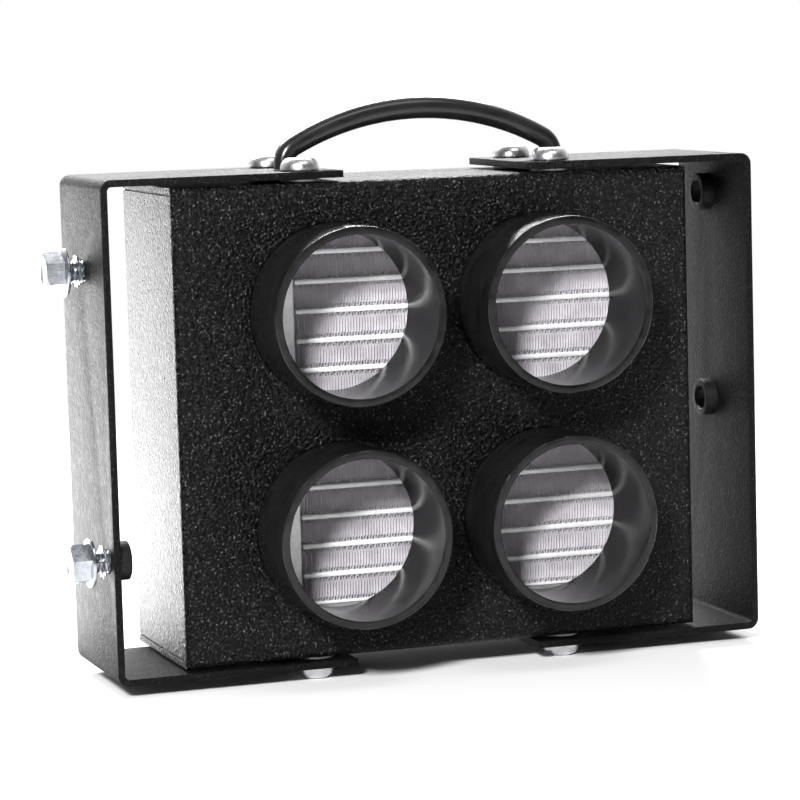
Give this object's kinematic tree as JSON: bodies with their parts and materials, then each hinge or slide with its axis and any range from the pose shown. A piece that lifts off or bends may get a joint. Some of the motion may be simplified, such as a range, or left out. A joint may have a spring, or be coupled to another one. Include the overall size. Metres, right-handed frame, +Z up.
{
  "type": "boot dryer",
  "caption": "Box-shaped warm-air boot dryer: finned heater core and fan in a folded black case, round outlet collars in front, C brackets at the sides and an arched carry handle.",
  "frame": {"origin": "middle of the overall box, at the floor that the lower screw heads stand on", "axes": "+X to the right as seen from the outlets, +Y from the outlets to the back, +Z up"},
  "size_m": [0.2624, 0.116, 0.2082],
  "materials": {
    "box_coating": "fine wrinkle powder coat, black",
    "bracket_coating": "fine wrinkle powder coat, black",
    "coated_nut": "powder coated with the bracket",
    "collar_plastic": "glossy black moulded tube with a sawn rim",
    "handle_plastic": "glossy black",
    "bright_screw": "bright plated steel",
    "small_screw": "plated steel",
    "zinc_bolt": "bright zinc plate",
    "zinc_insert": "zinc plate",
    "core_fins": "bare brazed aluminium",
    "core_frame": "bare brazed aluminium",
    "pipe": "bare drawn tube",
    "grommet_rubber": "matt black rubber",
    "fan_plastic": "moulded black",
    "motor_iron": "laminated iron and varnished winding",
    "guard_wire": "black coated wire"
  },
  "bodies": {
    "dryer": {"bracket_screw_bottom_left_front": "bright_screw", "bracket_screw_bottom_left_rear": "bright_screw", "bracket_screw_bottom_right_front": "bright_screw", "bracket_screw_bottom_right_rear": "bright_screw", "bracket_screw_top_left_front": "bright_screw", "bracket_screw_top_left_rear": "bright_screw", "bracket_screw_top_right_front": "bright_screw", "bracket_screw_top_right_rear": "bright_screw", "cable_grommet": "grommet_rubber", "carry_handle": "handle_plastic", "core_matrix": "core_fins", "core_mount_bottom": "core_frame", "core_mount_top": "core_frame", "core_side_plate_bottom": "core_frame", "core_side_plate_top": "core_frame", "cover_screw_bottom_left": "small_screw", "cover_screw_bottom_right": "small_screw", "cover_screw_top_left": "small_screw", "cover_screw_top_right": "small_screw", "fan_frame": "fan_plastic", "fan_screw_bottom_left": "small_screw", "fan_screw_bottom_right": "small_screw", "fan_screw_top_left": "small_screw", "fan_screw_top_right": "small_screw", "fan_stator": "motor_iron", "finger_guard": "guard_wire", "front_casing": "box_coating", "handle_screw_left": "small_screw", "handle_screw_right": "small_screw", "inlet_grommet": "grommet_rubber", "inlet_pipe": "pipe", "left_bracket": "bracket_coating", "left_tank": "core_frame", "lock_washer_lower": "zinc_bolt", "lock_washer_upper": "zinc_bolt", "outlet_collar_bottom_left": "collar_plastic", "outlet_collar_bottom_right": "collar_plastic", "outlet_collar_top_left": "collar_plastic", "outlet_collar_top_right": "collar_plastic", "outlet_grommet": "grommet_rubber", "outlet_pipe": "pipe", "rear_cover": "box_coating", "right_bracket": "bracket_coating", "right_tank": "core_frame", "rivet_nut_bottom_left_front": "zinc_insert", "rivet_nut_bottom_left_rear": "zinc_insert", "rivet_nut_bottom_right_front": "zinc_insert", "rivet_nut_bottom_right_rear": "zinc_insert", "rivet_nut_top_left_front": "zinc_insert", "rivet_nut_top_left_rear": "zinc_insert", "rivet_nut_top_right_front": "zinc_insert", "rivet_nut_top_right_rear": "zinc_insert", "weld_nut_left_lower": "coated_nut", "weld_nut_left_upper": "coated_nut", "weld_nut_right_lower": "coated_nut", "weld_nut_right_upper": "coated_nut"},
    "upper_bolt": {"mounting_bolt_upper": "zinc_bolt"},
    "lower_bolt": {"mounting_bolt_lower": "zinc_bolt"},
    "impeller": {"fan_impeller": "fan_plastic"}
  },
  "joints": [
    {"name": "fan_spin", "type": "hinge", "parent": "dryer", "child": "impeller", "pos_m": [0.01695, 0.02565, 0.09625], "axis": [0, 1, 0], "continuous": true},
    {"name": "upper_bolt_travel", "type": "slide", "parent": "dryer", "child": "upper_bolt", "axis": [-1, 0, 0], "range_m": [-0.0032, 0.002]},
    {"name": "lower_bolt_travel", "type": "slide", "parent": "dryer", "child": "lower_bolt", "axis": [-1, 0, 0], "range_m": [-0.0032, 0.002]}
  ]
}
